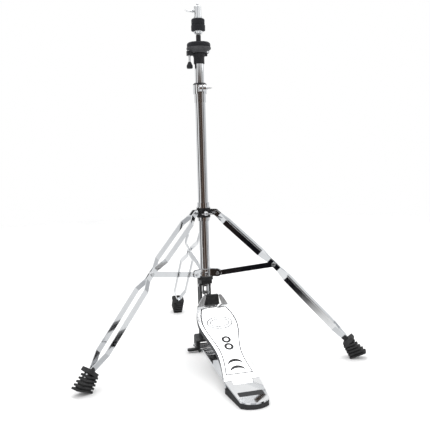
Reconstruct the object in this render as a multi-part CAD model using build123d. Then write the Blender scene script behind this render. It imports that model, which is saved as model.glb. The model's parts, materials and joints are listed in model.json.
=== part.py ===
from build123d import *
import os
from math import asin, atan2, cos, degrees, hypot, radians, sin

# A hi-hat stand, in millimetres. The origin is on the floor at the shaft's axis, +Z is up, the pedal
# points to -Y, and the three legs point to 90, 210 and 330 degrees. The rest pose has the legs open,
# the pedal up and the seat at its highest.

# ---- Driving sizes ----

# Shaft
LOWER_TUBE_R = 12.7
LOWER_TUBE_BORE_R = 11.5
UPPER_TUBE_R = 11.1
UPPER_TUBE_BORE_R = 9.9
ROD_R = 3.0
ROD_TOP = 866.0
YOKE_TOP = 193.0
CLAMP_LOW = 652.0
CLAMP_TOP = 671.6
SEAT_BASE_LOW = 722.2
SEAT_BASE_TOP = 746.2
CUP_LOW = 755.0
CUP_TOP = 761.7
SEAT_TOP = 774.0
CLUTCH_LOW = 794.0
FELT_LOW = 800.5
FELT_THICK = 15.0
CLUTCH_BODY_LOW = 834.2
CLUTCH_TOP = 860.0

# Tripod
LEG_ANGLES = {"left": 210, "right": 330, "back": 90}
LEG_PIVOT = (31.0, 357.6)
BRACE_PIVOT = (33.0, 201.0)
JOINT = (177.0, 227.0)
FOOT_ENTRY = (353.0, 45.0)
FOOT_HEEL_R = 361.0
BAR_WIDE = 13.0
BAR_THICK = 2.5
PIN_R = 2.5

# Pedal
BOARD_EDGE = (-287.0, 26.0)
BOARD_SLOPE = radians(25.4)
BOARD_LONG = 250.0
BOARD_THICK = 4.0
FLANGE_DEEP = 12.0
HEEL_PIVOT = (-291.2, 18.5)
HEEL_FRONT = -381.0
CHAIN_TOP = (0.0, 150.0)
CHAIN_PITCH = 12.7
TOE_PIN_Y = -2.9
CHAIN_PIN_R = 2.0

# Fits
RUNNING = 0.05
CLEAR = 0.3


# ---- Shapes that the pieces share ----


def ring(outer, inner, low, high):
    """An upright round tube, washer or, with no inner radius, a disc."""
    height = high - low
    solid = Pos(0, 0, low + height / 2) * Cylinder(outer, height)
    if inner:
        solid -= Pos(0, 0, low + height / 2) * Cylinder(inner, height + 1)
    return solid


def turned(*corners):
    """A solid turned about Z from its (radius, height) corners."""
    outline = Polyline(*[(r, 0, z) for r, z in corners], close=True)
    return revolve(make_face(outline), Axis.Z)


def outer_rims(solid):
    """The two outer circles of an upright round piece, the lower one first."""
    return solid.edges().filter_by(GeomType.CIRCLE).sort_by(Edge.length)[-2:].sort_by(Axis.Z)


def block(x, y, z):
    """A box from its low and high X, Y and Z."""
    size = Box(x[1] - x[0], y[1] - y[0], z[1] - z[0])
    return Pos((x[0] + x[1]) / 2, (y[0] + y[1]) / 2, (z[0] + z[1]) / 2) * size


def cross_pin(radius, low, high, y, z):
    """A round pin along X."""
    lying = Pos((low + high) / 2, y, z) * Rot(0, 90, 0)
    return lying * Cylinder(radius, high - low)


def side_pin(radius, low, high, x, z):
    """A round pin along Y."""
    lying = Pos(x, (low + high) / 2, z) * Rot(90, 0, 0)
    return lying * Cylinder(radius, high - low)


def side_profile(corners, low, high):
    """A solid along X from its (y, z) corners."""
    face = make_face(Polyline(*[(0, y, z) for y, z in corners], close=True))
    return Pos(low, 0, 0) * extrude(face, high - low, dir=(1, 0, 0))


def both_sides(solid):
    """The solid and its mirror image across the middle of the stand."""
    return [solid, mirror(solid, Plane.YZ)]


def wing_screw(shaft_r, shaft_long, hub_r, hub_long, span, wing_long, wing_thick):
    """A wing screw that points along +Z, with the tip of its shaft at the origin."""
    shaft = ring(shaft_r, 0, 0, shaft_long)
    hub = turned(
        (0, shaft_long), (hub_r, shaft_long), (hub_r * 0.8, shaft_long + hub_long),
        (0, shaft_long + hub_long),
    )
    wings = RectangleRounded(span, wing_long, min(span, wing_long) * 0.3)
    wings = Rot(90, 0, 0) * extrude(wings, wing_thick / 2, both=True)
    wings = Pos(0, 0, shaft_long + hub_long * 0.3 + wing_long / 2) * wings
    notch = Pos(0, 0, shaft_long + hub_long * 0.3 + wing_long + span * 0.08)
    wings -= notch * Rot(90, 0, 0) * Cylinder(span * 0.26, wing_thick + 1)
    return shaft + hub + wings


# ---- Shaft: lower tube, height clamp, upper tube ----


def lower_tube():
    return ring(LOWER_TUBE_R, LOWER_TUBE_BORE_R, YOKE_TOP - 6, CLAMP_TOP)


def clamp_sleeve():
    """The chrome sleeve and flange that carry the height clamp."""
    sleeve = ring(14.2, LOWER_TUBE_R, 629, CLAMP_LOW - 2.4)
    flange = ring(16.5, LOWER_TUBE_R, CLAMP_LOW - 2.4, CLAMP_LOW)
    return sleeve + flange


SCREW_Y = -22.5
SCREW_Z = (CLAMP_LOW + CLAMP_TOP) / 2


def height_clamp():
    """A split collar with two ears at the front, which its screw pulls together."""
    collar = ring(16.7, 0, CLAMP_LOW, CLAMP_TOP)
    ears = block((-8.5, 8.5), (-28.5, -10), (CLAMP_LOW + 2, CLAMP_TOP - 2))
    ears = fillet(ears.edges().filter_by(Axis.X).group_by(Axis.Y)[0], 6)
    collar += ears
    collar -= ring(LOWER_TUBE_R, 0, CLAMP_LOW - 1, CLAMP_TOP + 1)
    collar -= block((-1, 1), (-30, -10), (CLAMP_LOW - 1, CLAMP_TOP + 1))
    return collar - cross_pin(3 + RUNNING, -10, 10, SCREW_Y, SCREW_Z)


def height_screw():
    screw = wing_screw(3.0, 19, 4.2, 6, 17, 13, 2.4)
    return Pos(-10.2, SCREW_Y, SCREW_Z) * Rot(0, 90, 0) * Rot(0, 0, 90) * screw


def height_bush():
    """The nylon cap on the lower tube, which guides the upper one."""
    inner = UPPER_TUBE_R + CLEAR
    cap = turned(
        (inner, CLAMP_TOP), (16.8, CLAMP_TOP), (16.8, CLAMP_TOP + 1.6), (13.5, CLAMP_TOP + 4.6),
        (inner, CLAMP_TOP + 4.6),
    )
    return cap


def upper_tube():
    return ring(UPPER_TUBE_R, UPPER_TUBE_BORE_R, 545, SEAT_BASE_TOP - 8)


# ---- Seat for the bottom cymbal ----

POST_R = 5.9
TILT_PIVOT = (20.5, 750.0)
TILT_SCREW_X = -24.0
TILT_SCREW_R = 2.5
FLUTES = 12


def seat_base():
    """The fluted black head on the upper tube, with an arm for the cup's hinge and one for its screw."""
    web = SEAT_BASE_TOP - 8
    head = turned(
        (UPPER_TUBE_R, SEAT_BASE_LOW), (13.2, SEAT_BASE_LOW), (13.2, web - 2), (15.8, SEAT_BASE_TOP),
        (POST_R, SEAT_BASE_TOP), (POST_R, web), (UPPER_TUBE_R, web),
    )
    for i in range(FLUTES):
        flute = Rot(0, 0, 360 / FLUTES * i) * Pos(14.1, 0, (SEAT_BASE_LOW + web) / 2 - 4)
        head -= flute * Cylinder(1.6, web - SEAT_BASE_LOW - 2)
    key = Rot(0, 0, 210) * block((11.6, 13.4), (-1.3, 1.3), (SEAT_BASE_LOW - 11, SEAT_BASE_LOW + 1))
    x, z = TILT_PIVOT
    hinge_arm = block((10, x), (-4, 4), (SEAT_BASE_TOP - 5, z + 3.5)) + side_pin(3.5, -4, 4, x, z)
    hinge_arm -= ring(9, 0, SEAT_BASE_TOP, z + 5)
    screw_arm = block((-30, -10), (-5.5, 5.5), (SEAT_BASE_TOP - 4, SEAT_BASE_TOP + 1))
    screw_arm += block((-30, -18.5), (-5.5, 5.5), (SEAT_BASE_TOP - 2, CUP_LOW - 1.6))
    base = head + key + hinge_arm + screw_arm
    base -= ring(POST_R, 0, web - 1, z + 5)
    base -= Pos(TILT_SCREW_X, 0, SEAT_BASE_TOP) * Cylinder(TILT_SCREW_R + RUNNING, 30)
    return base - side_pin(1.6, -6, 6, x, z)


def seat_post():
    """The black sleeve that the bottom cymbal's hole sits round."""
    foot = SEAT_BASE_TOP - 8
    post = ring(POST_R, ROD_R + CLEAR, foot, CLUTCH_LOW - 2.3)
    return chamfer(outer_rims(post)[-1], 0.8)


def seat_hinge_pin():
    x, z = TILT_PIVOT
    return side_pin(1.6, -8.6, 8.6, x, z) + side_pin(2.8, -9.8, -8, x, z) + side_pin(2.8, 8, 9.8, x, z)


CUP_R = 30.0
CUP_HOLE_R = 8.0


def seat_cup():
    """The shallow bowl that tilts: two ears in its skirt ride on the hinge pin."""
    rim_low = CUP_LOW + 2.4
    foot = SEAT_BASE_TOP + 1.6
    cup = turned(
        (CUP_HOLE_R, CUP_LOW), (15, CUP_LOW), (15, foot), (18, foot), (CUP_R, rim_low),
        (CUP_R, CUP_TOP - 1), (CUP_R - 1, CUP_TOP), (CUP_HOLE_R, CUP_TOP),
    )
    x, z = TILT_PIVOT
    cup -= block((9, x + 5), (-4.4, 4.4), (foot - 1, CUP_LOW - 0.6))
    cup -= block((-CUP_R - 1, -14), (-6.2, 6.2), (foot - 1, CUP_LOW))
    for y in (-7.8, 4.4):
        cup += side_pin(3.6, y, y + 3.4, x, z) + block((x - 3.6, x + 3.6), (y, y + 3.4), (z, CUP_LOW + 1))
    cup -= side_pin(1.6 + RUNNING, -12, 12, x, z)
    for y in (-14, 7.9):
        cup -= side_pin(3.2, y, y + 6.1, x, z)
    return cup - Pos(TILT_SCREW_X, 0, CUP_LOW) * Cylinder(TILT_SCREW_R + 1, 20)


def seat_felt():
    felt = ring(29.3, CUP_HOLE_R, CUP_TOP, SEAT_TOP)
    return fillet(outer_rims(felt)[-1], 6)


KNOB_LOW = 711.0
KNOB_TOP = 727.0


def tilt_screw():
    """The screw that lifts the cup's left side. Two collars keep it in the base's arm."""
    screw = ring(TILT_SCREW_R, 0, KNOB_LOW + 3, CUP_TOP - 1.5)
    screw += ring(3.6, 0, SEAT_BASE_TOP - 6, SEAT_BASE_TOP - 4.2)
    screw += ring(3.2, 0, CUP_LOW - 1.5, CUP_LOW - 0.2)
    return Pos(TILT_SCREW_X, 0, 0) * screw


def tilt_knob():
    """A knob with a cone on top and six lobes round its foot."""
    knob = turned(
        (TILT_SCREW_R, KNOB_LOW + 3), (0, KNOB_LOW + 3), (0, KNOB_LOW), (6.2, KNOB_LOW),
        (7.4, KNOB_LOW + 1.6), (7.6, KNOB_LOW + 7), (6.6, KNOB_LOW + 9), (TILT_SCREW_R + 0.9, KNOB_TOP),
        (TILT_SCREW_R, KNOB_TOP),
    )
    for i in range(6):
        knob -= Rot(0, 0, 60 * i + 30) * Pos(9.4, 0, KNOB_LOW + 3) * Cylinder(2.6, 13)
    return Pos(TILT_SCREW_X, 0, 0) * knob


# ---- Clutch ----

SLEEVE_R = 8.0
SLEEVE_NECK_R = 6.0
SLEEVE_BORE_R = POST_R + 0.5
CLUTCH_SCREW_Z = 848.5


def clutch_body():
    body = ring(8.9, 0, CLUTCH_BODY_LOW, CLUTCH_TOP)
    body = fillet(body.edges().group_by(Axis.Z)[-1], 1.8)
    body -= ring(SLEEVE_NECK_R, 0, CLUTCH_BODY_LOW - 1, CLUTCH_BODY_LOW + 8)
    body -= ring(ROD_R + RUNNING, 0, CLUTCH_BODY_LOW, CLUTCH_TOP + 1)
    return body - cross_pin(3 + RUNNING, -12, 0, 0, CLUTCH_SCREW_Z)


def clutch_screw():
    screw = wing_screw(3.0, 7.5, 4.4, 6, 20, 18, 2.6)
    return Pos(-ROD_R - CLEAR, 0, CLUTCH_SCREW_Z) * Rot(0, -90, 0) * Rot(0, 0, 65) * screw


def clutch_sleeve():
    """The threaded sleeve through the felts. Its wide bore slides over the seat's post."""
    sleeve = ring(SLEEVE_R, 0, CLUTCH_LOW + 1, FELT_LOW + 2 * FELT_THICK)
    sleeve += ring(SLEEVE_NECK_R, 0, FELT_LOW + 2 * FELT_THICK, CLUTCH_BODY_LOW + 8)
    sleeve -= ring(SLEEVE_BORE_R, 0, CLUTCH_LOW, CLUTCH_LOW + 22)
    return sleeve - ring(ROD_R + RUNNING, 0, CLUTCH_LOW, CLUTCH_TOP)


def clutch_lock_nut():
    low = FELT_LOW + 2 * FELT_THICK
    nut = ring(10.4, SLEEVE_NECK_R, low, CLUTCH_BODY_LOW)
    for i in range(6):
        nut -= Rot(0, 0, 60 * i) * Pos(11.6, 0, low + 2) * Cylinder(2.6, 8)
    return nut


def upper_felt():
    low = FELT_LOW + FELT_THICK
    felt = ring(16.9, SLEEVE_R, low, low + FELT_THICK)
    return fillet(outer_rims(felt)[-1], 4.5)


def lower_felt():
    felt = ring(17.7, SLEEVE_R, FELT_LOW, FELT_LOW + FELT_THICK)
    return fillet(outer_rims(felt), 2.5)


def clutch_nut():
    """The flared nut under the felts."""
    return turned(
        (SLEEVE_R, CLUTCH_LOW), (8.9, CLUTCH_LOW), (11.6, FELT_LOW - 2), (11.6, FELT_LOW),
        (SLEEVE_R, FELT_LOW),
    )


# ---- Pull rod, its return spring and the chain ----

CLEVIS_TOP = CHAIN_TOP[1] + 22
SPRING_LOW = YOKE_TOP + 3
SPRING_TOP = 300.0
SPRING_R = 7.6
SPRING_WIRE_R = 0.9
SPRING_TURNS = 14


def pull_rod():
    rod = ring(ROD_R, 0, CLEVIS_TOP - 6, ROD_TOP)
    return chamfer(rod.edges().group_by(Axis.Z)[-1], 0.8)


def spring_stop():
    return ring(9.0, ROD_R, SPRING_TOP, SPRING_TOP + 5)


def return_spring():
    """The spring in the lower tube that lifts the rod and the pedal."""
    low = SPRING_LOW + SPRING_WIRE_R + 0.1
    high = SPRING_TOP - SPRING_WIRE_R - 0.1
    coil = Helix((high - low) / SPRING_TURNS, high - low, SPRING_R, center=(0, 0, low))
    wire = Plane(origin=coil @ 0, z_dir=coil % 0) * Circle(SPRING_WIRE_R)
    return sweep(wire, path=coil, is_frenet=True)


def rod_clevis():
    """The stirrup on the rod's foot, with the pin that the chain hangs from."""
    y, z = CHAIN_TOP
    clevis = block((-7.6, 7.6), (-5, 5), (z - 5, CLEVIS_TOP))
    clevis -= block((-5.8, 5.8), (-6, 6), (z - 6, CLEVIS_TOP - 6))
    clevis -= ring(ROD_R, 0, z, CLEVIS_TOP + 1)
    ends = clevis.edges().filter_by(Axis.X).group_by(Axis.Z)[0]
    clevis = fillet(ends, 4.8)
    return clevis - cross_pin(CHAIN_PIN_R, -10, 10, y, z)


def clevis_pin():
    y, z = CHAIN_TOP
    pin = cross_pin(CHAIN_PIN_R, -8.8, 8.8, y, z)
    return pin + cross_pin(3.2, -8.9, -7.6, y, z) + cross_pin(3.2, 7.6, 8.9, y, z)


CHAIN_LEAN = asin(TOE_PIN_Y / (2 * CHAIN_PITCH))


def chain_pivot(number):
    """The (y, z) of the chain's pivots, 0 at the clevis and 2 at the footboard."""
    y, z = CHAIN_TOP
    along = number * CHAIN_PITCH
    return y + along * sin(CHAIN_LEAN), z - along * cos(CHAIN_LEAN)


def link_plate(first, x, thick):
    """A link plate from one pivot of the chain to the next."""
    middle = chain_pivot(first + 0.5)
    down = (0, sin(CHAIN_LEAN), -cos(CHAIN_LEAN))
    plate = Plane(origin=(x, *middle), x_dir=down, z_dir=(1, 0, 0)) * SlotCenterToCenter(CHAIN_PITCH, 9.6)
    return extrude(plate, thick)


def chain_plates():
    plates = both_sides(link_plate(0, 2.4, 1.2)) + both_sides(link_plate(1, 3.8, 1.2))
    holes = [cross_pin(CHAIN_PIN_R + RUNNING, -7, 7, *chain_pivot(0))]
    holes += [cross_pin(CHAIN_PIN_R, -7, 7, *chain_pivot(n)) for n in (1, 2)]
    return Compound([plate - holes for plate in plates])


def chain_pins():
    return Compound([cross_pin(CHAIN_PIN_R, -5.5, 5.5, *chain_pivot(n)) for n in (1, 2)])


def chain_rollers():
    rollers = []
    for number, hole in ((0, CHAIN_PIN_R + RUNNING), (1, CHAIN_PIN_R)):
        roller = cross_pin(3.9, -2.3, 2.3, *chain_pivot(number))
        rollers.append(roller - cross_pin(hole, -3, 3, *chain_pivot(number)))
    return Compound(rollers)


# ---- Yoke at the shaft's foot ----

CHEEK_OUT = 28.0
CHEEK_IN = 24.0
YOKE_FRONT = 2.0
YOKE_BACK = 31.0
SHOE_TOP = 33.0
BOLT_Y = 13.0
BOLT_Z = 166.5
ANCHOR_ROD_R = 3.0
ANCHOR_Y = -15.0
ANCHOR_ROD_Z = (9.0, 19.0)


def yoke():
    """The black casting: a flange under the shaft, two side plates and a wide shoe on the floor."""
    flange = ring(19.4, 0, YOKE_TOP - 9, YOKE_TOP)
    head = block((-14, 14), (-12, YOKE_BACK), (CLEVIS_TOP + 2, YOKE_TOP - 9))
    plate = block((9.4, 14), (YOKE_FRONT, YOKE_BACK), (SHOE_TOP - 1, CLEVIS_TOP + 3))
    shoe = block((-CHEEK_OUT, CHEEK_OUT), (-22, YOKE_BACK), (0, SHOE_TOP))
    shoe -= block((-CHEEK_IN, CHEEK_IN), (-23, YOKE_BACK + 1), (-1, SHOE_TOP - 6))
    shoe = fillet(shoe.edges().filter_by(Axis.Y).group_by(Axis.Z)[-1], 5)
    shoe += block((-CHEEK_IN - 1, CHEEK_IN + 1), (-5, YOKE_BACK), (0, 5))
    casting = flange + head + both_sides(plate) + shoe
    casting -= ring(LOWER_TUBE_R, 0, YOKE_TOP - 6, YOKE_TOP + 1)
    casting -= ring(6.5, 0, CLEVIS_TOP, YOKE_TOP)
    casting -= cross_pin(2.5, -16, 16, BOLT_Y, BOLT_Z)
    return casting - [cross_pin(ANCHOR_ROD_R, -30, 30, ANCHOR_Y, z) for z in ANCHOR_ROD_Z]


def yoke_bolt():
    """The bolt that ties the two side plates together."""
    bolt = cross_pin(2.5, -14, 14, BOLT_Y, BOLT_Z)
    return bolt + cross_pin(4.2, -16.4, -14, BOLT_Y, BOLT_Z) + cross_pin(4.2, 14, 16.4, BOLT_Y, BOLT_Z)


def rod_guide():
    """The nylon bush in the tube's foot: the rod slides in it and the spring stands on it."""
    guide = ring(LOWER_TUBE_BORE_R, 0, YOKE_TOP - 6, SPRING_LOW)
    guide += ring(6.5, 0, CLEVIS_TOP + 2, YOKE_TOP - 5)
    return guide - ring(ROD_R + RUNNING, 0, CLEVIS_TOP, SPRING_LOW + 1)


def anchor_rods():
    """Two rods across the shoe. The base plate hooks on the lower one; the lever turns on the upper."""
    low = cross_pin(ANCHOR_ROD_R, -CHEEK_OUT, CHEEK_OUT, ANCHOR_Y, ANCHOR_ROD_Z[0])
    high = cross_pin(ANCHOR_ROD_R, -41, CHEEK_OUT, ANCHOR_Y, ANCHOR_ROD_Z[1])
    return Compound([low, high])


def lock_lever():
    """A bent lever on the left: its hub is on the upper rod and its thumb tab is low and outside."""
    y, z = ANCHOR_Y, ANCHOR_ROD_Z[1]
    hub = cross_pin(6.5, -34, -CHEEK_OUT - 0.5, y, z)
    arm = block((-34, -CHEEK_OUT - 0.5), (y - 5, y + 5), (5, z))
    cam = block((-34, -CHEEK_OUT - 0.5), (y - 4, y + 4), (z, z + 10))
    tab = block((-56, -33), (y - 6, y + 6), (5, 10))
    tab = fillet(tab.edges().filter_by(Axis.Z).group_by(Axis.X)[0], 5)
    return hub + arm + cam + tab - cross_pin(ANCHOR_ROD_R + RUNNING, -60, 0, y, z)


# ---- Base plate and heel ----

PLATE_LOW = 1.0
PLATE_THICK = 3.0
HEEL_WIDE = 39.0
HEEL_FRONT_WIDE = 31.0
HEEL_CORNER = -368.0
HEEL_Z = (13.5, 26.0)
TONGUE = 22.0
BARREL_R = 5.2


def long_plate():
    """The flat of the base plate, which tapers from the heel to the yoke."""
    outline = Polyline((-25.5, -330), (25.5, -330), (16, -9), (-16, -9), close=True)
    return Pos(0, 0, PLATE_LOW) * extrude(make_face(outline), PLATE_THICK)


def base_plate():
    """The long plate on the floor between the yoke and the heel, hooked round the lower anchor rod."""
    plate = long_plate()
    hook = cross_pin(5.6, -16, 16, ANCHOR_Y, ANCHOR_ROD_Z[0])
    hook -= block((-17, 17), (ANCHOR_Y, ANCHOR_Y + 8), (ANCHOR_ROD_Z[0], 20))
    plate += hook
    return plate - cross_pin(ANCHOR_ROD_R, -20, 20, ANCHOR_Y, ANCHOR_ROD_Z[0])


def heel_top(drop):
    """A cutter that keeps what is under the heel's sloping top, less a given drop."""
    run = BOARD_EDGE[0] - HEEL_FRONT
    low, high = HEEL_Z
    corners = [
        (HEEL_FRONT - 5, 0), (HEEL_FRONT - 5, low - drop - (high - low) * 5 / run),
        (BOARD_EDGE[0] + 2, high - drop + (high - low) * 2 / run), (BOARD_EDGE[0] + 2, 0),
    ]
    return side_profile(corners, -60, 60)


def heel_outline(inset):
    """The heel in plan: straight sides and a curved front."""
    wide, corner = HEEL_WIDE - inset, HEEL_FRONT_WIDE - inset
    front = HEEL_FRONT + inset
    back = BOARD_EDGE[0]
    sides = Polyline((corner, HEEL_CORNER), (wide, back), (-wide, back), (-corner, HEEL_CORNER))
    nose = ThreePointArc((-corner, HEEL_CORNER), (0, front), (corner, HEEL_CORNER))
    return make_face(sides + nose)


BADGE = (27.0, 8.5)
BADGE_Y = -344.0


def heel_plate():
    """The chrome heel, with two knuckles that hold the footboard's hinge pin."""
    shell = extrude(heel_outline(0), 40) & (heel_top(0) - heel_top(3))
    y, z = HEEL_PIVOT
    knuckle = cross_pin(BARREL_R, TONGUE + 0.6, HEEL_WIDE - 1, y, z)
    shell += both_sides(knuckle)
    shell -= block((-TONGUE - 0.6, TONGUE + 0.6), (-303, -280), (5, 40))
    shell -= badge_shape(0)
    return shell - cross_pin(PIN_R, -50, 50, y, z)


def badge_shape(shrink):
    """The badge's rounded block, let into the heel's top."""
    slope = degrees(atan2(HEEL_Z[1] - HEEL_Z[0], BOARD_EDGE[0] - HEEL_FRONT))
    z = HEEL_Z[0] + (BADGE_Y - HEEL_FRONT) * (HEEL_Z[1] - HEEL_Z[0]) / (BOARD_EDGE[0] - HEEL_FRONT)
    face = RectangleRounded(2 * BADGE[0] - shrink, 2 * BADGE[1] - shrink, 3)
    return Pos(0, BADGE_Y, z) * Rot(slope, 0, 0) * Pos(0, 0, -1) * extrude(face, 1 if shrink else 3)


def heel_badge():
    return badge_shape(0.1)


def heel_pad():
    """The rubber under the heel, which also holds the base plate's end."""
    pad = extrude(heel_outline(0.6), 40) & heel_top(3)
    y, z = HEEL_PIVOT
    pad -= block((-50, 50), (-301, -280), (z - BARREL_R - 1, 40))
    pad -= block((-TONGUE - 1, TONGUE + 1), (-306, -280), (PLATE_LOW, 40))
    return pad - long_plate()


def heel_pin():
    return cross_pin(PIN_R, -HEEL_WIDE + 1.4, HEEL_WIDE - 1.4, *HEEL_PIVOT)


# ---- Footboard ----

BOARD = Plane(origin=(0, *BOARD_EDGE), x_dir=(1, 0, 0), z_dir=(0, -sin(BOARD_SLOPE), cos(BOARD_SLOPE)))
WAIST = (32.6, 88.0)
SHOULDER = (49.0, 168.0)
TOE_CORNER = (40.0, BOARD_LONG - 6)
BORDER_INSET = 7.5
BORDER_HEEL = 17.0
BORDER_WIDE = 2.6
INLAY_DEEP = 0.5


def board_outline(inset, heel):
    """The footboard in its own plane: waisted sides and a curved toe, less an inset all round."""
    corner = (TOE_CORNER[0] - inset, TOE_CORNER[1] - inset)
    start = (HEEL_WIDE - inset * 1.05, heel)
    waist = (WAIST[0] - inset, WAIST[1])
    shoulder = (SHOULDER[0] - inset, SHOULDER[1])
    side = Spline(start, waist, shoulder, corner, tangents=[(-0.16, 1), (-0.35, 1)])
    toe = RadiusArc(corner, (-corner[0], corner[1]), -150)
    base = Line((-start[0], heel), start)
    return make_face(side + toe + mirror(side, Plane.YZ) + base)


def toe_ears():
    """Two horns at the toe, which lean in towards the toe block."""
    y, z = toe_edge()
    corners = [
        (-39, z - 9), (-25, z - 6), (-19, z + 12), (-16.5, z + 21), (-18.5, z + 25), (-23, z + 23),
        (-32, z + 10), (-39, z - 3),
    ]
    face = make_face(Polyline(*[(x, y - 4, height) for x, height in corners], close=True))
    return both_sides(extrude(face, 4, dir=(0, 1, 0)))


def toe_edge():
    """The (y, z) of the footboard's top at its toe."""
    return (
        BOARD_EDGE[0] + BOARD_LONG * cos(BOARD_SLOPE),
        BOARD_EDGE[1] + BOARD_LONG * sin(BOARD_SLOPE),
    )


def inlay(depth):
    """The black line round the footboard, two crescents, two rings and a double ellipse."""
    border = board_outline(BORDER_INSET, BORDER_HEEL)
    border -= board_outline(BORDER_INSET + BORDER_WIDE, BORDER_HEEL + BORDER_WIDE)
    pieces = [border]
    for s in (58, 38):
        outside = ThreePointArc((-18, s - 12), (0, s + 4), (18, s - 12))
        inside = ThreePointArc((18, s - 12), (0, s - 4), (-18, s - 12))
        pieces.append(make_face(outside + inside))
    for wide, high in ((31, 21), (24, 14)):
        pieces.append(Pos(0, 182) * (Ellipse(wide, high) - Ellipse(wide - 2.2, high - 2.2)))
    for s in (101, 124):
        pieces.append(Pos(0, s) * (Circle(11) - Circle(5)))
    return [BOARD * Pos(0, 0, -depth) * extrude(piece, depth) for piece in pieces]


def footboard():
    """The chrome board: a plate with turned-down sides, its hinge knuckle and the toe's horns."""
    outline = board_outline(0, 1)
    plate = extrude(outline, -BOARD_THICK)
    skirt = extrude(outline, -FLANGE_DEEP) - extrude(board_outline(3, -5), -FLANGE_DEEP)
    skirt -= Pos(0, 0, -FLANGE_DEEP / 2) * Box(120, 36, FLANGE_DEEP + 2)
    skirt -= Pos(0, BOARD_LONG, -FLANGE_DEEP / 2) * Box(60, 40, FLANGE_DEEP + 2)
    tongue = Pos(0, -5, -BOARD_THICK / 2) * Box(2 * TONGUE, 20, BOARD_THICK)
    board = BOARD * (plate + skirt + tongue)
    board += cross_pin(BARREL_R, -TONGUE, TONGUE, *HEEL_PIVOT)
    board += toe_ears()
    board -= inlay(INLAY_DEEP)
    return board - cross_pin(PIN_R + RUNNING, -60, 60, *HEEL_PIVOT)


def footboard_inlay():
    return Compound(inlay(INLAY_DEEP))


ARM_HALF = 3.4


def toe_bracket():
    """The black toe block and the arm that reaches back between the yoke's plates to the chain."""
    y, z = toe_edge()
    corners = [(-20, z - 12), (20, z - 12), (16.5, z + 23), (-15.5, z + 23)]
    front = make_face(Polyline(*[(x, y + 2, height) for x, height in corners], close=True))
    toe = extrude(front, 9, dir=(0, 1, 0))
    pin_y, pin_z = chain_pivot(2)
    arm = block((-ARM_HALF, ARM_HALF), (y + 2, pin_y), (pin_z - 6.4, pin_z + 5.5))
    arm += cross_pin(6.4, -ARM_HALF, ARM_HALF, pin_y, pin_z)
    return toe + arm - footboard() - cross_pin(CHAIN_PIN_R + 0.4, -9, 9, pin_y, pin_z)


# ---- Tripod ----


def radial(angle, solid):
    """A solid drawn along +X, turned to a leg's direction."""
    return Rot(0, 0, angle) * solid


def lug(reach, low, high, near, far, root):
    """A rounded ear that stands out along +X, between two values of Y."""
    middle = (low + high) / 2
    half = (high - low) / 2
    ear = block((root, reach - half), (near, far), (low, high))
    return ear + side_pin(half, near, far, reach - half, middle)


COLLAR_SCREW_Z = 355.0


def collar_body():
    """The black clamp that slides on the lower tube and carries the legs."""
    r, z = LEG_PIVOT
    body = ring(17.2, 0, z - 13.6, z + 10.4)
    for angle in LEG_ANGLES.values():
        body += radial(angle, lug(r + 7, z - 7, z + 7, -4, 4, 10))
        body -= radial(angle, side_pin(PIN_R, -6, 6, r, z))
    body += Pos(0, -19, COLLAR_SCREW_Z) * Rot(90, 0, 0) * Cylinder(7, 7)
    body -= Pos(0, -18, COLLAR_SCREW_Z) * Rot(90, 0, 0) * Cylinder(4 + RUNNING, 20)
    return body - ring(LOWER_TUBE_R + CLEAR, 0, z - 20, z + 20)


def collar_rings():
    z = LEG_PIVOT[1]
    bore = LOWER_TUBE_R + CLEAR
    top = ring(16.6, bore, z + 10.4, z + 13) + ring(15.2, bore, z + 13, z + 23)
    foot = ring(16.6, bore, z - 16.2, z - 13.6) + ring(15.2, bore, z - 22.4, z - 16.2)
    return Compound([top, foot])


def collar_pins():
    r, z = LEG_PIVOT
    pin = side_pin(PIN_R, -8.8, 8.8, r, z) + side_pin(4, -8.8, -7.1, r, z) + side_pin(4, 7.1, 8.8, r, z)
    return Compound([radial(angle, pin) for angle in LEG_ANGLES.values()])


def collar_screw():
    screw = wing_screw(4.0, 11, 6, 7, 27, 13, 3)
    return Pos(0, -LOWER_TUBE_R - CLEAR, COLLAR_SCREW_Z) * Rot(90, 0, 0) * screw


def lower_collar():
    """The fixed chrome collar with a pair of ears for each brace."""
    r, z = BRACE_PIVOT
    low, high = z - 8, z + 11
    body = ring(15.6, LOWER_TUBE_R, low, high)
    gap = BAR_THICK / 2 + 0.35
    thick = 2.6
    for angle in LEG_ANGLES.values():
        for side in (-gap - thick, gap):
            body += radial(angle, lug(r + 9.5, low, high, side, side + thick, 14))
        body -= radial(angle, side_pin(PIN_R, -6, 6, r, z))
    body -= ring(LOWER_TUBE_R, 0, low - 1, high + 1)
    return body - Pos(0, -15, z) * Rot(90, 0, 0) * Cylinder(3, 5)


def lower_collar_screw():
    z = BRACE_PIVOT[1]
    screw = Pos(0, -14.4, z) * Rot(90, 0, 0) * Cylinder(3, 2.6)
    head = Pos(0, -17.1, z) * Rot(90, 0, 0) * Cylinder(5, 2.9)
    head = fillet(head.edges().group_by(Axis.Y)[0], 1.2)
    return screw + head


def brace_pins():
    r, z = BRACE_PIVOT
    pin = side_pin(PIN_R, -5.8, 5.8, r, z) + side_pin(4, -5.8, -4.2, r, z) + side_pin(4, 4.2, 5.8, r, z)
    return Compound([radial(angle, pin) for angle in LEG_ANGLES.values()])


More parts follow.
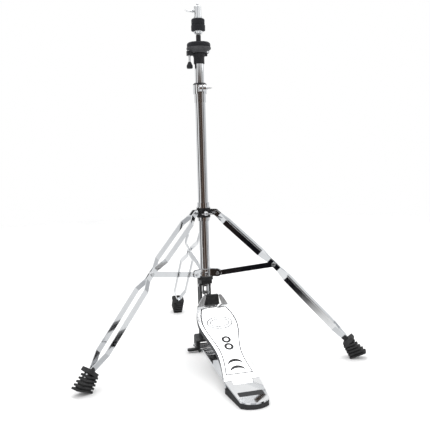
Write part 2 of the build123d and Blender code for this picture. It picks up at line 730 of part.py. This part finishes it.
# Along each half of a leg: the distance from its upper end, and the bar's middle from the leg's plane.
LUG_GAP = 4.0 + CLEAR + BAR_THICK / 2
PINCH_GAP = BAR_THICK + 0.35
WIDE_GAP = 17.0
TOE_GAP = BAR_THICK / 2 + 0.2
UPPER_LONG = hypot(JOINT[0] - LEG_PIVOT[0], LEG_PIVOT[1] - JOINT[1])
LOWER_LONG = hypot(FOOT_ENTRY[0] - JOINT[0], JOINT[1] - FOOT_ENTRY[1])
UPPER_BAR = [
    (0, LUG_GAP), (13, LUG_GAP), (36, WIDE_GAP), (UPPER_LONG - 44, WIDE_GAP), (UPPER_LONG - 15, PINCH_GAP),
    (UPPER_LONG, PINCH_GAP),
]
LOWER_BAR = [
    (0, PINCH_GAP), (17, PINCH_GAP), (44, WIDE_GAP), (LOWER_LONG - 44, WIDE_GAP), (LOWER_LONG, TOE_GAP),
    (LOWER_LONG + 20, TOE_GAP),
]


def bent_bar(start, end, path):
    """A flat bar in the plane through two (radius, height) points, bent sideways along the path."""
    down = Vector(end[0] - start[0], 0, end[1] - start[1]).normalized()
    plane = Plane(origin=(start[0], 0, start[1]), x_dir=down, z_dir=down.cross(Vector(0, 1, 0)))
    half = BAR_THICK / 2
    outline = [(s, t + half) for s, t in path] + [(s, t - half) for s, t in reversed(path)]
    face = make_face(Polyline(*outline, close=True))
    return plane * extrude(face, BAR_WIDE / 2, both=True)


def leg_bar():
    """One of a leg's two bars, from the collar's lug to the foot."""
    bar = bent_bar(LEG_PIVOT, JOINT, UPPER_BAR) + bent_bar(JOINT, FOOT_ENTRY, LOWER_BAR)
    near, far = PINCH_GAP - BAR_THICK / 2, PINCH_GAP + BAR_THICK / 2
    bar += side_pin(BAR_WIDE / 2, near, far, *JOINT)
    near, far = LUG_GAP - BAR_THICK / 2, LUG_GAP + BAR_THICK / 2
    bar += side_pin(BAR_WIDE / 2, near, far, *LEG_PIVOT)
    bar -= side_pin(PIN_R + RUNNING, 0, 30, *LEG_PIVOT)
    return bar - side_pin(PIN_R, 0, 30, *JOINT)


def leg_bars(angle):
    bar = leg_bar()
    return Compound([radial(angle, bar), radial(angle, mirror(bar, Plane.XZ))])


def leg_rivets(angle):
    """The joint's rivet: a head on each bar. Its middle is left out, where the brace comes and goes."""
    near, far = PINCH_GAP - BAR_THICK / 2, PINCH_GAP + BAR_THICK / 2
    head = side_pin(5, far, far + 2, *JOINT)
    head = fillet(head.edges().filter_by(GeomType.CIRCLE).group_by(Axis.Y)[-1], 1.4)
    rivet = head + side_pin(PIN_R, near, far + 0.5, *JOINT)
    return Compound([radial(angle, rivet), radial(angle, mirror(rivet, Plane.XZ))])


def brace(angle):
    """A flat bar from the lower collar to the leg's joint."""
    run, rise = JOINT[0] - BRACE_PIVOT[0], JOINT[1] - BRACE_PIVOT[1]
    bar = SlotCenterToCenter(hypot(run, rise), BAR_WIDE)
    bar = Rot(90, 0, 0) * extrude(bar, BAR_THICK / 2, both=True)
    bar = Rot(0, -degrees(atan2(rise, run)), 0) * bar
    bar = Pos((JOINT[0] + BRACE_PIVOT[0]) / 2, 0, (JOINT[1] + BRACE_PIVOT[1]) / 2) * bar
    bar -= side_pin(PIN_R + RUNNING, -9, 9, *BRACE_PIVOT)
    bar -= side_pin(PIN_R + 0.5, -9, 9, *JOINT)
    return radial(angle, bar)


FIN_COUNT = 5
FIN_TILT = 24.0
FIN_THICK = 4.2
FIN_STEP = (-3.4, 6.9)
FIN_LONG = 41.0
FIN_WIDE = 27.0
FOOT_HEAD = (35.0, 26.0, 9.0)


def foot(angle):
    """A ribbed rubber foot: it stands on its inner edge, and tilted fins step up to the leg's end."""
    core = Polyline(
        (FOOT_HEEL_R + 4, 0, 4), (FOOT_HEEL_R + 30, 0, 16), (FOOT_ENTRY[0] + 8, 0, FOOT_ENTRY[1]),
        (FOOT_ENTRY[0] - 9, 0, FOOT_ENTRY[1] - 10), close=True,
    )
    solid = extrude(make_face(core), 10, both=True)
    for i in range(FIN_COUNT):
        long = FIN_LONG - 3.4 * i
        place = Pos(FOOT_HEEL_R + FIN_STEP[0] * i, 0, FIN_STEP[1] * i - 0.7) * Rot(0, -FIN_TILT, 0)
        fin = extrude(RectangleRounded(long, FIN_WIDE + 1.2 * i, 3), FIN_THICK)
        solid += place * Pos(long / 2, 0, 0) * fin
    down = Vector(FOOT_ENTRY[0] - JOINT[0], 0, FOOT_ENTRY[1] - JOINT[1]).normalized()
    top = Plane(origin=(FOOT_ENTRY[0], 0, FOOT_ENTRY[1]), x_dir=(0, 1, 0), z_dir=down)
    wide, deep, high = FOOT_HEAD
    solid += top * Pos(0, 2) * extrude(RectangleRounded(wide, deep, 3), high)
    solid -= bent_bar(JOINT, FOOT_ENTRY, LOWER_BAR)
    solid -= mirror(bent_bar(JOINT, FOOT_ENTRY, LOWER_BAR), Plane.XZ)
    return radial(angle, solid - block((300, 420), (-40, 40), (-30, 0)))


# ---- Files ----


def every_node():
    nodes = {
        piece.__name__: piece()
        for piece in (
            lower_tube, clamp_sleeve, height_clamp, height_bush, height_screw, upper_tube, seat_base,
            seat_post, seat_hinge_pin, seat_cup, seat_felt, tilt_screw, tilt_knob, clutch_body,
            clutch_screw,
            clutch_sleeve, clutch_lock_nut, upper_felt, lower_felt, clutch_nut, pull_rod, spring_stop,
            return_spring, rod_clevis, clevis_pin, chain_plates, chain_pins, chain_rollers, yoke, yoke_bolt,
            rod_guide, anchor_rods, lock_lever, base_plate, heel_plate, heel_badge, heel_pad, heel_pin,
            footboard, footboard_inlay, toe_bracket, collar_body, collar_rings, collar_pins, collar_screw,
            lower_collar, lower_collar_screw, brace_pins,
        )
    }
    for name, angle in LEG_ANGLES.items():
        nodes[f"leg_{name}"] = leg_bars(angle)
        nodes[f"leg_rivets_{name}"] = leg_rivets(angle)
        nodes[f"brace_{name}"] = brace(angle)
        nodes[f"foot_{name}"] = foot(angle)
    return nodes


def main():
    os.makedirs("parts", exist_ok=True)
    for name, shape in every_node().items():
        export_step(shape, f"parts/{name}.step")


main()
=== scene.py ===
import json
import math

import bmesh
import bpy
from mathutils import Matrix, Vector, noise


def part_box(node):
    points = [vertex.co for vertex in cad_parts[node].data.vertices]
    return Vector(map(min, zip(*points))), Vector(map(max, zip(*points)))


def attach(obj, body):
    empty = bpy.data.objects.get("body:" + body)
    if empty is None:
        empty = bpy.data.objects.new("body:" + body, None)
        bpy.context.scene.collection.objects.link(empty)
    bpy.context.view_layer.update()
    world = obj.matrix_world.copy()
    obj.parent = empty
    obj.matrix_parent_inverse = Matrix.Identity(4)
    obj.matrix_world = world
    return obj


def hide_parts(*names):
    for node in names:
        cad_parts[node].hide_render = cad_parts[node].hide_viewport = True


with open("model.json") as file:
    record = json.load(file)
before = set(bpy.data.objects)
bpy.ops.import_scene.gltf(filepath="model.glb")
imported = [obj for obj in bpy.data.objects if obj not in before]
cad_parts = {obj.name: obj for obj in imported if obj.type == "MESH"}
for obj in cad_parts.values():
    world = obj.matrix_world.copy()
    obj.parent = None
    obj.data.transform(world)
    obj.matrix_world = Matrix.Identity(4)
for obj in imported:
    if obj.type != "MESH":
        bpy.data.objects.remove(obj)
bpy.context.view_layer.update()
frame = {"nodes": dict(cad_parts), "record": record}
NODES = frame["nodes"]
MM = 0.001

# The camera stands at the left front, half a metre above the floor, and is rolled slightly.
CAMERA_AT = Vector((-0.3714, -1.4471, 0.5186))
CAMERA_LOOKS = Vector((0.2655, 0.9574, -0.1134)).normalized()
CAMERA_ROLL = math.radians(-1.56)
CAMERA_LENS = 49.8
LIGHTS_AIM = Vector((0, -0.05, 0.35))
FLOOR_RADIUS = 3.0

# The footboard's slope, and how far along its normal the top of its plate is from the origin.
BOARD_SLOPE = math.radians(25.4)
BOARD_NORMAL = (0, -math.sin(BOARD_SLOPE), math.cos(BOARD_SLOPE))
TREAD_LEVEL = 0.1466

FELT_HOLE_R = 8.0 * MM
FELT_SINK = 0.00025
SECTION_STEP = 0.0012
THREAD_PITCH = 0.001
ON_AXIS = 0.00001


# ---- Material helpers ----


class Nodes:
    """A short way to write a material's nodes."""

    def __init__(self, name):
        self.material = bpy.data.materials.new(name)
        self.material.use_nodes = True
        self.tree = self.material.node_tree
        self.shader = self.tree.nodes["Principled BSDF"]
        self.coords = self.tree.nodes.new("ShaderNodeTexCoord").outputs["Object"]

    def set(self, **values):
        """Sets the shader's own sockets."""
        for name, value in values.items():
            self.shader.inputs[name.replace("_", " ")].default_value = value

    def link(self, source, target):
        self.tree.links.new(source, target)

    def feed(self, name, source):
        self.link(source, self.shader.inputs[name])

    def stretched(self, stretch):
        """The object's coordinates, scaled along each axis."""
        node = self.tree.nodes.new("ShaderNodeMapping")
        node.inputs["Scale"].default_value = stretch
        self.link(self.coords, node.inputs["Vector"])
        return node.outputs["Vector"]

    def noise(self, scale, detail=4, rough=0.5, stretch=(1, 1, 1)):
        node = self.tree.nodes.new("ShaderNodeTexNoise")
        node.inputs["Scale"].default_value = scale
        node.inputs["Detail"].default_value = detail
        node.inputs["Roughness"].default_value = rough
        self.link(self.stretched(stretch), node.inputs["Vector"])
        return node.outputs["Fac"]

    def cells(self, scale, stretch=(1, 1, 1)):
        node = self.tree.nodes.new("ShaderNodeTexVoronoi")
        node.inputs["Scale"].default_value = scale
        self.link(self.stretched(stretch), node.inputs["Vector"])
        return node.outputs["Distance"]

    def pointiness(self):
        return self.tree.nodes.new("ShaderNodeNewGeometry").outputs["Pointiness"]

    def range(self, source, low, high, to_low, to_high):
        node = self.tree.nodes.new("ShaderNodeMapRange")
        self.link(source, node.inputs["Value"])
        for name, value in (
            ("From Min", low), ("From Max", high), ("To Min", to_low), ("To Max", to_high),
        ):
            node.inputs[name].default_value = value
        return node.outputs["Result"]

    def add(self, first, second, kind="ADD"):
        node = self.tree.nodes.new("ShaderNodeMath")
        node.operation = kind
        self.link(first, node.inputs[0])
        self.link(second, node.inputs[1])
        return node.outputs["Value"]

    def ramp(self, source, *stops):
        """A colour that goes through (place, colour) stops."""
        node = self.tree.nodes.new("ShaderNodeValToRGB")
        elements = node.color_ramp.elements
        for place, colour in stops[1:-1]:
            elements.new(place)
        for element, (place, colour) in zip(elements, stops):
            element.position = place
            element.color = (*colour, 1)
        self.link(source, node.inputs["Fac"])
        return node.outputs["Color"]

    def bump(self, *layers):
        """Bump from several (source, depth in metres) layers."""
        normal = None
        for source, depth in layers:
            node = self.tree.nodes.new("ShaderNodeBump")
            node.inputs["Distance"].default_value = depth
            self.link(source, node.inputs["Height"])
            if normal:
                self.link(normal, node.inputs["Normal"])
            normal = node.outputs["Normal"]
        self.feed("Normal", normal)


# ---- Materials ----


def chrome(name="chrome", tint=(0.83, 0.84, 0.85), gloss=(0.03, 0.09)):
    """Polished plate, with faint smudges, hairline scratches and a slight waviness."""
    m = Nodes(name)
    m.set(Metallic=1.0)
    smudge = m.noise(38, 6, 0.6)
    hairs = m.noise(420, 2, 0.5, (1, 1, 0.06))
    dull = [c * 0.95 for c in tint]
    bright = [c * 1.03 for c in tint]
    m.feed("Base Color", m.ramp(smudge, (0.3, dull), (0.6, tint), (0.8, bright)))
    m.feed("Roughness", m.range(m.add(smudge, hairs, "MULTIPLY"), 0.12, 0.45, *gloss))
    m.bump((m.noise(14, 2), 0.00012), (hairs, 0.0000012))
    return m.material


def plated_steel():
    """Bright zinc plate, duller than the chrome, with turning marks."""
    return chrome("plated_steel", (0.68, 0.69, 0.70), (0.12, 0.26))


def dark_steel():
    m = Nodes("dark_steel")
    m.set(Metallic=1.0)
    film = m.noise(160, 5, 0.6)
    m.feed("Base Color", m.ramp(film, (0.3, (0.10, 0.10, 0.105)), (0.7, (0.26, 0.25, 0.24))))
    m.feed("Roughness", m.range(film, 0.3, 0.7, 0.28, 0.46))
    m.bump((m.noise(900, 3), 0.00002))
    return m.material


def black_paint():
    """Satin powder coat: a fine orange-peel skin that is rubbed a little lighter on its edges."""
    m = Nodes("black_paint")
    m.set(Specular_IOR_Level=0.22, Coat_Weight=0.05, Coat_Roughness=0.25)
    worn = m.add(m.range(m.pointiness(), 0.53, 0.6, 0, 0.6), m.noise(210, 5, 0.7), "MULTIPLY")
    fresh = (0.008, 0.008, 0.009)
    handled = (0.018, 0.018, 0.019)
    rubbed = (0.07, 0.07, 0.07)
    m.feed("Base Color", m.ramp(worn, (0.0, fresh), (0.3, handled), (0.6, rubbed)))
    m.feed("Roughness", m.range(m.noise(60), 0.3, 0.7, 0.34, 0.5))
    m.bump((m.noise(700, 2), 0.00009), (m.noise(2600, 2), 0.00002))
    return m.material


def moulded(name, dark, light, rough, grain):
    """Moulded plastic or rubber with a fine grain and faint handling marks."""
    m = Nodes(name)
    m.set(Specular_IOR_Level=0.24)
    cloud = m.noise(45, 6, 0.65)
    m.feed("Base Color", m.ramp(cloud, (0.35, dark), (0.65, light)))
    m.feed("Roughness", m.range(cloud, 0.3, 0.7, *rough))
    m.bump((m.noise(1500, 3, 0.6), grain), (m.cells(900), grain * 0.7))
    return m.material


def black_felt():
    """Pressed wool: matted fibres that scatter light at the edges."""
    m = Nodes("black_felt")
    m.set(Specular_IOR_Level=0.08, Sheen_Weight=0.16, Sheen_Roughness=0.6)
    m.shader.inputs["Sheen Tint"].default_value = (0.55, 0.57, 0.62, 1)
    fibres = m.add(m.noise(900, 6, 0.75, (1, 1, 2.5)), m.noise(2600, 3, 0.6), "MULTIPLY")
    m.feed("Base Color", m.ramp(fibres, (0.15, (0.006, 0.006, 0.007)), (0.4, (0.03, 0.03, 0.034))))
    m.feed("Roughness", m.range(fibres, 0.1, 0.5, 0.85, 1.0))
    m.bump((fibres, 0.0009), (m.noise(240, 4), 0.0006))
    return m.material


def footboard_chrome_painted_dark_flanks():
    """Brushed chrome on the tread and its toe ears; the turned-down flanks and below get a painted
    near-black colour, picked by which way each face points: a painted reflection of dark surroundings.
    """
    m = Nodes("footboard_chrome_painted_dark_flanks")

    def along_normal(source):
        node = m.tree.nodes.new("ShaderNodeVectorMath")
        node.operation = "DOT_PRODUCT"
        m.link(source, node.inputs[0])
        node.inputs[1].default_value = BOARD_NORMAL
        return node.outputs["Value"]

    facing = m.tree.nodes.new("ShaderNodeTexCoord").outputs["Normal"]
    # Faces that point away from the board's normal get the painted dark reflection instead of chrome.
    top = m.range(along_normal(facing), 0.55, 0.65, 0, 1)
    ears = m.range(along_normal(m.coords), TREAD_LEVEL + 0.0003, TREAD_LEVEL + 0.0008, 0, 1)
    tread = m.add(top, ears, "MAXIMUM")
    brush = m.noise(260, 4, 0.6, (1, 0.05, 0.05))
    # The dark stop is painted shade: a painted reflection on the flanks and underside, not a paint colour.
    m.feed("Base Color", m.ramp(tread, (0.0, (0.02, 0.02, 0.022)), (1.0, (0.90, 0.905, 0.91))))
    m.feed("Metallic", tread)
    m.feed("Roughness", m.range(brush, 0.3, 0.7, 0.10, 0.24))
    m.bump((brush, 0.000006), (m.noise(18, 2), 0.00015))
    return m.material


def black_ink():
    """The printed line and figures on the footboard."""
    m = Nodes("black_ink")
    m.set(Specular_IOR_Level=0.25)
    wear = m.noise(320, 6, 0.7)
    m.feed("Base Color", m.ramp(wear, (0.25, (0.05, 0.05, 0.05)), (0.4, (0.014, 0.014, 0.015))))
    m.feed("Roughness", m.range(wear, 0.3, 0.7, 0.22, 0.36))
    m.bump((wear, 0.00002))
    return m.material


def floor_paper():
    m = Nodes("floor_paper")
    m.set(Specular_IOR_Level=0.25)
    grain = m.noise(3, 3)
    m.feed("Base Color", m.ramp(grain, (0.3, (0.95, 0.95, 0.95)), (0.7, (0.97, 0.97, 0.97))))
    m.feed("Roughness", m.range(grain, 0.3, 0.7, 0.5, 0.62))
    m.bump((m.noise(800, 3), 0.00003))
    return m.material


MATERIALS = {
    "chrome": chrome(),
    "plated_steel": plated_steel(),
    "dark_steel": dark_steel(),
    "black_paint": black_paint(),
    "black_plastic": moulded(
        "black_plastic", (0.013, 0.013, 0.015), (0.026, 0.026, 0.028), (0.34, 0.5), 0.00006,
    ),
    "grey_plastic": moulded(
        "grey_plastic", (0.035, 0.035, 0.038), (0.062, 0.062, 0.066), (0.4, 0.55), 0.00007,
    ),
    "black_felt": black_felt(),
    "rubber": moulded("rubber", (0.018, 0.018, 0.019), (0.042, 0.042, 0.043), (0.62, 0.85), 0.00012),
}
INK = black_ink()


def dress(obj, material):
    obj.data.materials.clear()
    obj.data.materials.append(material)


# ---- Mesh helpers ----


def new_piece(name, form, body, slot, material, *replaced):
    """A piece of the object made from a bmesh."""
    bmesh.ops.recalc_face_normals(form, faces=form.faces[:])
    mesh = bpy.data.meshes.new(name)
    form.to_mesh(mesh)
    form.free()
    obj = bpy.data.objects.new(name, mesh)
    bpy.context.scene.collection.objects.link(obj)
    for face in mesh.polygons:
        face.use_smooth = True
    dress(obj, material)
    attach(obj, body)
    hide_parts(*replaced)
    return obj


def lathe(form, profile, around=64, matrix=Matrix.Identity(4)):
    """A closed ring of faces from (radius, height) points, which go round the section."""
    rings = []
    for step in range(around):
        turn = 2 * math.pi * step / around
        points = [Vector((r * math.cos(turn), r * math.sin(turn), z)) for r, z in profile]
        rings.append([form.verts.new(matrix @ point) for point in points])
    for step in range(around):
        here, there = rings[step], rings[(step + 1) % around]
        for i in range(len(profile)):
            j = (i + 1) % len(profile)
            form.faces.new((here[i], there[i], there[j], here[j]))


def rounded_section(inner, outer, low, high, low_round, high_round, steps=7):
    """The section of a washer whose two outer corners are rounded."""
    points = [(inner, low)]
    corners = ((outer, low, low_round, -90), (outer, high, high_round, 0))
    for r, z, round_by, first in corners:
        side = 1 if first < 0 else -1
        for step in range(steps + 1):
            turn = math.radians(first + 90 * step / steps)
            across = r - round_by + round_by * math.cos(turn)
            points.append((across, z + side * round_by + round_by * math.sin(turn)))
    points.append((inner, high))
    filled = []
    for (r0, z0), (r1, z1) in zip(points, points[1:] + points[:1]):
        count = max(1, round(math.hypot(r1 - r0, z1 - z0) / SECTION_STEP))
        filled += [(r0 + (r1 - r0) * k / count, z0 + (z1 - z0) * k / count) for k in range(count)]
    return filled


def felt_washer(name, node, body, low_round, high_round, seed):
    """A pressed felt washer: softly rounded, a little uneven, and matted on its surface."""
    low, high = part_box(node)
    outer = (high.x - low.x) / 2
    form = bmesh.new()
    section = rounded_section(
        FELT_HOLE_R, outer - 0.0003, low.z, high.z, low_round * MM, high_round * MM,
    )
    lathe(form, section, 150)
    form.normal_update()
    bmesh.ops.recalc_face_normals(form, faces=form.faces[:])
    form.normal_update()
    for v in form.verts:
        at = v.co * 1000 + Vector((seed, 0, 0))
        if math.hypot(v.co.x, v.co.y) < FELT_HOLE_R + 0.0005:
            continue
        lump = noise.noise(at / 9) * 0.00022 + noise.noise(at / 1.6) * 0.00012
        lump += noise.noise(at / 0.6) * 0.00007
        v.co += v.normal * (lump - FELT_SINK)
    piece = new_piece(name, form, body, "black_felt", MATERIALS["black_felt"], node)


def wing_screw(name, node, body, tip, turn, sizes, slot="chrome"):
    """A wing screw along +Z of its own frame: a threaded shank, a waisted hub and two swept wings."""
    shaft_r, shaft_long, hub_r, hub_long, span, wing_long, wing_thick = [v * MM for v in sizes]
    place = Matrix.Translation(Vector(tip) * MM) @ turn
    form = bmesh.new()
    shank = [(ON_AXIS, 0)]
    for i in range(int(shaft_long / THREAD_PITCH)):
        shank += [(shaft_r * 0.9, i * THREAD_PITCH), (shaft_r - 0.00002, (i + 0.5) * THREAD_PITCH)]
    base = shaft_long
    shank += [
        (shaft_r * 0.9, base - 0.0003), (hub_r * 0.96, base), (hub_r, base + 0.0006),
        (hub_r, base + hub_long * 0.25),
        (hub_r * 0.86, base + hub_long * 0.5), (hub_r * 0.8, base + hub_long * 0.9),
        (hub_r * 0.68, base + hub_long), (ON_AXIS, base + hub_long),
    ]
    lathe(form, shank, 36, place)
    root = base + hub_long * 0.3
    for side in (-1, 1):
        outline = [
            (0.0, 0.02), (0.30, 0.0), (0.44, 0.18), (0.52, 0.45), (0.56, 0.72), (0.52, 0.93), (0.42, 1.0),
            (0.31, 0.93), (0.24, 0.74), (0.15, 0.6), (0.0, 0.54),
        ]
        fronts, backs = [], []
        for across, along in outline:
            thick = wing_thick / 2 * (1.15 - 0.5 * along)
            for row, offset in ((fronts, thick), (backs, -thick)):
                point = Vector((side * across * span * 0.9, offset, root + along * wing_long))
                row.append(form.verts.new(place @ point))
        form.faces.new(fronts)
        form.faces.new(list(reversed(backs)))
        for i in range(len(outline)):
            j = (i + 1) % len(outline)
            form.faces.new((fronts[i], backs[i], backs[j], fronts[j]))
    piece = new_piece(name, form, body, slot, MATERIALS[slot], node)
    bevel = piece.modifiers.new("round", "BEVEL")
    bevel.width = 0.0005
    bevel.segments = 3
    bevel.limit_method = "ANGLE"
    bevel.angle_limit = math.radians(50)


def rotation(*turns):
    """Turns about named axes, in degrees, the first one outermost."""
    matrix = Matrix.Identity(4)
    for angle, axis in turns:
        matrix = matrix @ Matrix.Rotation(math.radians(angle), 4, axis)
    return matrix


# ---- Studio ----


def camera():
    data = bpy.data.cameras.new("camera")
    data.lens = CAMERA_LENS
    obj = bpy.data.objects.new("camera", data)
    bpy.context.scene.collection.objects.link(obj)
    turn = CAMERA_LOOKS.to_track_quat("-Z", "Y").to_matrix()
    turn = turn @ Matrix.Rotation(CAMERA_ROLL, 3, "Z")
    obj.matrix_world = Matrix.Translation(CAMERA_AT) @ turn.to_4x4()
    bpy.context.scene.camera = obj


def floor():
    mesh = bpy.data.meshes.new("floor")
    form = bmesh.new()
    bmesh.ops.create_circle(form, cap_ends=True, segments=96, radius=FLOOR_RADIUS)
    form.to_mesh(mesh)
    form.free()
    obj = bpy.data.objects.new("floor", mesh)
    bpy.context.scene.collection.objects.link(obj)
    obj.visible_glossy = False
    dress(obj, floor_paper())


def softbox(name, place, size, power):
    data = bpy.data.lights.new(name, "AREA")
    data.shape = "RECTANGLE"
    data.size, data.size_y = size
    data.energy = power
    obj = bpy.data.objects.new(name, data)
    bpy.context.scene.collection.objects.link(obj)
    aim = LIGHTS_AIM - Vector(place)
    obj.matrix_world = Matrix.Translation(place) @ aim.to_track_quat("-Z", "Y").to_matrix().to_4x4()


class Room:
    """The nodes of the room round the stand. Its light is even and white. Reflections see mottled walls
    instead, with a dark end in front of the stand and a dark panel at each side."""

    def __init__(self):
        world = bpy.data.worlds.new("studio")
        bpy.context.scene.world = world
        world.use_nodes = True
        self.tree = world.node_tree
        self.background = self.tree.nodes["Background"]
        self.direction = self.tree.nodes.new("ShaderNodeTexCoord").outputs["Generated"]
        split = self.tree.nodes.new("ShaderNodeSeparateXYZ")
        self.tree.links.new(self.direction, split.inputs["Vector"])
        self.x, self.y, self.z = split.outputs

    def math(self, kind, *values):
        node = self.tree.nodes.new("ShaderNodeMath")
        node.operation = kind
        for socket, value in zip(node.inputs, values):
            if isinstance(value, (int, float)):
                socket.default_value = value
            else:
                self.tree.links.new(value, socket)
        return node.outputs["Value"]

    def fade(self, value, low, high):
        """0 where the value is low and 1 where it is high."""
        node = self.tree.nodes.new("ShaderNodeMapRange")
        node.interpolation_type = "SMOOTHSTEP"
        self.tree.links.new(value, node.inputs["Value"])
        node.inputs["From Min"].default_value = low
        node.inputs["From Max"].default_value = high
        return node.outputs["Result"]

    def ramp(self, value, *stops):
        node = self.tree.nodes.new("ShaderNodeValToRGB")
        elements = node.color_ramp.elements
        for place, colour in stops[1:-1]:
            elements.new(place)
        for element, (place, colour) in zip(elements, stops):
            element.position = place
            element.color = (*colour, 1)
        self.tree.links.new(value, node.inputs["Fac"])
        return node.outputs["Color"]

    def noise(self, scale, stretch):
        squeeze = self.tree.nodes.new("ShaderNodeMapping")
        squeeze.inputs["Scale"].default_value = stretch
        self.tree.links.new(self.direction, squeeze.inputs["Vector"])
        node = self.tree.nodes.new("ShaderNodeTexNoise")
        node.inputs["Scale"].default_value = scale
        node.inputs["Detail"].default_value = 2
        self.tree.links.new(squeeze.outputs["Vector"], node.inputs["Vector"])
        return node.outputs["Fac"]

    def mix(self, share, first, second):
        node = self.tree.nodes.new("ShaderNodeMix")
        node.data_type = "RGBA"
        factor = next(s for s in node.inputs if s.name == "Factor" and s.type == "VALUE")
        self.tree.links.new(share, factor)
        for name, value in (("A", first), ("B", second)):
            socket = next(s for s in node.inputs if s.name == name and s.type == "RGBA")
            if isinstance(value, tuple):
                socket.default_value = value
            else:
                self.tree.links.new(value, socket)
        return next(s for s in node.outputs if s.type == "RGBA")

    def sector(self, towards, wide, soft=0.06):
        """1 within an angle, in degrees, either side of a level direction, and 0 away from it."""
        squares = [self.math("MULTIPLY", part, part) for part in (self.x, self.y)]
        level = self.math("SQRT", self.math("ADD", *squares))
        shares = [
            self.math("MULTIPLY", self.x, towards.x),
            self.math("MULTIPLY", self.y, towards.y),
        ]
        along = self.math("ADD", *shares)
        cosine = self.math("DIVIDE", along, self.math("MAXIMUM", level, 0.001))
        edge = math.cos(math.radians(wide))
        return self.fade(cosine, edge - soft, edge + soft)

    def band(self, low, high, soft=0.03):
        """1 between two heights of the room, as sines of the elevation."""
        above = self.fade(self.z, low - soft, low + soft)
        below = self.fade(self.z, high + soft, high - soft)
        return self.math("MULTIPLY", above, below)


def studio():
    room = Room()
    front = -Vector((CAMERA_LOOKS.x, CAMERA_LOOKS.y)).normalized()
    walls = room.ramp(
        room.noise(2.3, (1, 1, 0.5)), (0.38, (0.42, 0.43, 0.45)), (0.5, (0.86, 0.87, 0.88)),
        (0.6, (1, 1, 1)),
    )
    darkness = room.ramp(
        room.noise(7, (1, 1, 0.08)), (0.36, (0.006, 0.006, 0.008)), (0.5, (0.03, 0.022, 0.018)),
        (0.58, (0.20, 0.135, 0.10)), (0.64, (0.5, 0.5, 0.5)),
    )
    dark_end = room.math("MULTIPLY", room.sector(front, 52), room.band(-0.27, 0.13))
    seen = room.mix(dark_end, walls, darkness)
    right = room.math("MULTIPLY", room.sector(Vector((0.8, -0.6)), 9, 0.004), room.band(-0.6, 0.35))
    seen = room.mix(right, seen, (0.02, 0.02, 0.02, 1))
    left = room.math("MULTIPLY", room.sector(Vector((-0.98, 0.2)), 12, 0.004), room.band(-0.7, 0.3))
    seen = room.mix(left, seen, (0.05, 0.045, 0.04, 1))
    white = (1, 1, 1, 1)
    glossy = room.tree.nodes.new("ShaderNodeLightPath").outputs["Is Glossy Ray"]
    room.tree.links.new(room.mix(glossy, white, seen), room.background.inputs["Color"])
    softbox("key", (-1.6, -1.2, 2.2), (1.2, 1.2), 10)
    softbox("fill", (1.8, -0.8, 1.6), (1.0, 1.4), 5)
    softbox("top", (0.2, 0.6, 2.6), (2.0, 2.0), 24)
    bpy.context.scene.view_settings.view_transform = "Standard"


camera()
floor()
studio()
for row in frame["record"]["subparts"]:
    dress(NODES[row["node"]], MATERIALS[row["material_slot"]])
dress(NODES["footboard_inlay"], INK)
dress(NODES["footboard"], footboard_chrome_painted_dark_flanks())

felt_washer("seat_felt_pad", "seat_felt", "seat_cup", 1.6, 6.5, 3)
felt_washer("lower_felt_washer", "lower_felt", "clutch", 2.5, 2.5, 11)
felt_washer("upper_felt_washer", "upper_felt", "clutch", 1.5, 4.5, 23)
wing_screw(
    "clutch_wing_screw", "clutch_screw", "clutch_screw", (-3.3, 0, 848.5),
    rotation((-90, "Y"), (65, "Z")),
    (3.0, 7.5, 4.4, 6, 20, 18, 2.6),
)
wing_screw(
    "height_wing_screw", "height_screw", "height_screw", (-10.2, -22.5, 661.8),
    rotation((90, "Y"), (90, "Z")),
    (3.0, 19, 4.2, 6, 17, 13, 2.4),
)
wing_screw(
    "collar_wing_screw", "collar_screw", "collar_screw", (0, -13.0, 355.0), rotation((90, "X")),
    (4.0, 11, 6, 7, 27, 13, 3),
)
